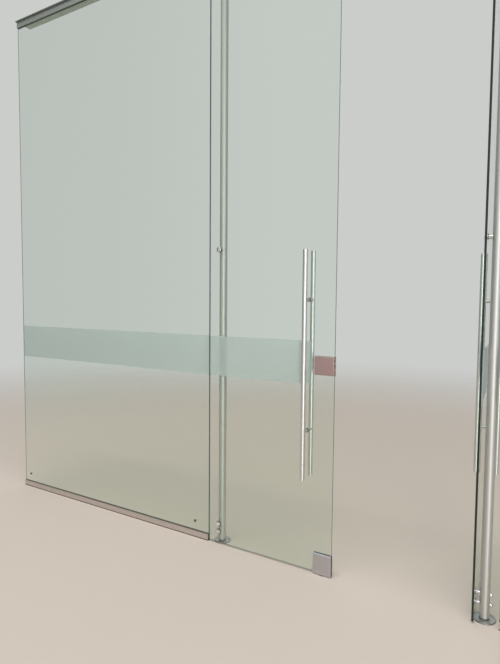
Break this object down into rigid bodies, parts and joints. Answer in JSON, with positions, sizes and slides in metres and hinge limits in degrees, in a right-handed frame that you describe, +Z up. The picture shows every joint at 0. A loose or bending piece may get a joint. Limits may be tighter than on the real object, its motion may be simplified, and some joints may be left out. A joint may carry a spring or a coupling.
{
  "type": "glass entrance door",
  "caption": "Frameless glass entrance: fixed sidelights with frosted bands and pivot-hung glass leaves with tubular pull handles, patch locks and round floor flanges.",
  "frame": {"origin": "left pivot axis at the finished floor", "axes": "+X along the entrance from left to right as seen from outside, +Y into the building, +Z up"},
  "size_m": [5.084, 0.8245, 3.4883],
  "materials": {
    "clear_glass": "clear toughened glass with dark green edges",
    "frosted_film": "frosted film",
    "channel_aluminium": "satin mill finish",
    "head_aluminium": "satin mill finish in shade",
    "head_paint": "satin grey paint",
    "gasket_rubber": "matt black",
    "block_plastic": "matt",
    "satin_stainless": "satin brushed",
    "polished_fixings": "fine satin",
    "rose_stainless": "satin brushed, warm tint",
    "grey_stainless": "satin brushed",
    "lock_steel": "satin",
    "screw_steel": "bright",
    "bronze": "turned",
    "plug_nylon": "matt"
  },
  "bodies": {
    "frame": {"channel_screws": "screw_steel", "flange_screws": "screw_steel", "floor_bolt_socket": "satin_stainless", "glazing_gaskets": "gasket_rubber", "head_plate": "head_paint", "left_floor_channel": "channel_aluminium", "left_floor_flange": "satin_stainless", "left_head_channel": "head_aluminium", "left_head_flange": "satin_stainless", "left_sidelight_band": "frosted_film", "left_sidelight_glass": "clear_glass", "pivot_pins": "screw_steel", "right_floor_channel": "channel_aluminium", "right_floor_flange": "satin_stainless", "right_head_channel": "head_aluminium", "right_head_flange": "satin_stainless", "right_sidelight_band": "frosted_film", "right_sidelight_glass": "clear_glass", "setting_blocks": "block_plastic", "sidelight_hole_plugs": "gasket_rubber", "thrust_washers": "bronze"},
    "left_leaf": {"left_leaf_glass": "clear_glass", "left_pivot_tube": "satin_stainless", "left_tube_plugs": "plug_nylon", "left_fixing_bolts": "polished_fixings", "left_fixing_spacers": "polished_fixings", "left_dome_nuts": "polished_fixings", "left_leaf_band": "frosted_film", "left_outer_pull_bar": "satin_stainless", "left_inner_pull_bar": "satin_stainless", "left_pull_bar_caps": "satin_stainless", "left_pull_posts": "satin_stainless", "left_glass_pads": "gasket_rubber", "lock_outer_cover": "rose_stainless", "lock_inner_cover": "rose_stainless", "lock_forend": "lock_steel", "lock_case": "lock_steel", "lock_case_screws": "screw_steel", "floor_lock_outer_cover": "grey_stainless", "floor_lock_inner_cover": "grey_stainless", "floor_lock_case": "lock_steel"},
    "right_leaf": {"right_leaf_glass": "clear_glass", "right_pivot_tube": "satin_stainless", "right_tube_plugs": "plug_nylon", "right_fixing_bolts": "polished_fixings", "right_fixing_spacers": "polished_fixings", "right_dome_nuts": "polished_fixings", "right_leaf_band": "frosted_film", "right_outer_pull_bar": "satin_stainless", "right_inner_pull_bar": "satin_stainless", "right_pull_bar_caps": "satin_stainless", "right_pull_posts": "satin_stainless", "right_glass_pads": "gasket_rubber", "keeper_outer_cover": "rose_stainless", "keeper_inner_cover": "rose_stainless", "keeper_body": "lock_steel"},
    "meeting_bolt": {"lock_bolt": "lock_steel"},
    "meeting_turn": {"lock_thumb_turn": "lock_steel"},
    "foot_bolt": {"floor_bolt": "lock_steel"},
    "foot_turn": {"floor_lock_thumb_turn": "lock_steel"}
  },
  "joints": [
    {"name": "left_leaf_swing", "type": "hinge", "parent": "frame", "child": "left_leaf", "pos_m": [0, 0, 0], "axis": [0, 0, 1], "range_deg": [0, 90]},
    {"name": "right_leaf_swing", "type": "hinge", "parent": "frame", "child": "right_leaf", "pos_m": [1.45, 0, 0], "axis": [0, 0, 1], "range_deg": [-4, 86]},
    {"name": "meeting_lock_turn", "type": "hinge", "parent": "left_leaf", "child": "meeting_turn", "pos_m": [0.665, -0.045, 1.124], "axis": [0, -1, 0], "range_deg": [0, 90]},
    {"name": "meeting_bolt_throw", "type": "slide", "parent": "left_leaf", "child": "meeting_bolt", "axis": [1, 0, 0], "range_m": [0, 0.022]},
    {"name": "floor_lock_turn", "type": "hinge", "parent": "left_leaf", "child": "foot_turn", "pos_m": [0.6865, -0.045, 0.058], "axis": [0, -1, 0], "range_deg": [0, 90]},
    {"name": "floor_bolt_throw", "type": "slide", "parent": "left_leaf", "child": "foot_bolt", "axis": [0, 0, -1], "range_m": [0, 0.022]}
  ],
  "couplings": [
    {"joint": "meeting_bolt_throw", "follows": "meeting_lock_turn", "m_per_rad": 0.014006},
    {"joint": "floor_bolt_throw", "follows": "floor_lock_turn", "m_per_rad": 0.014006}
  ]
}
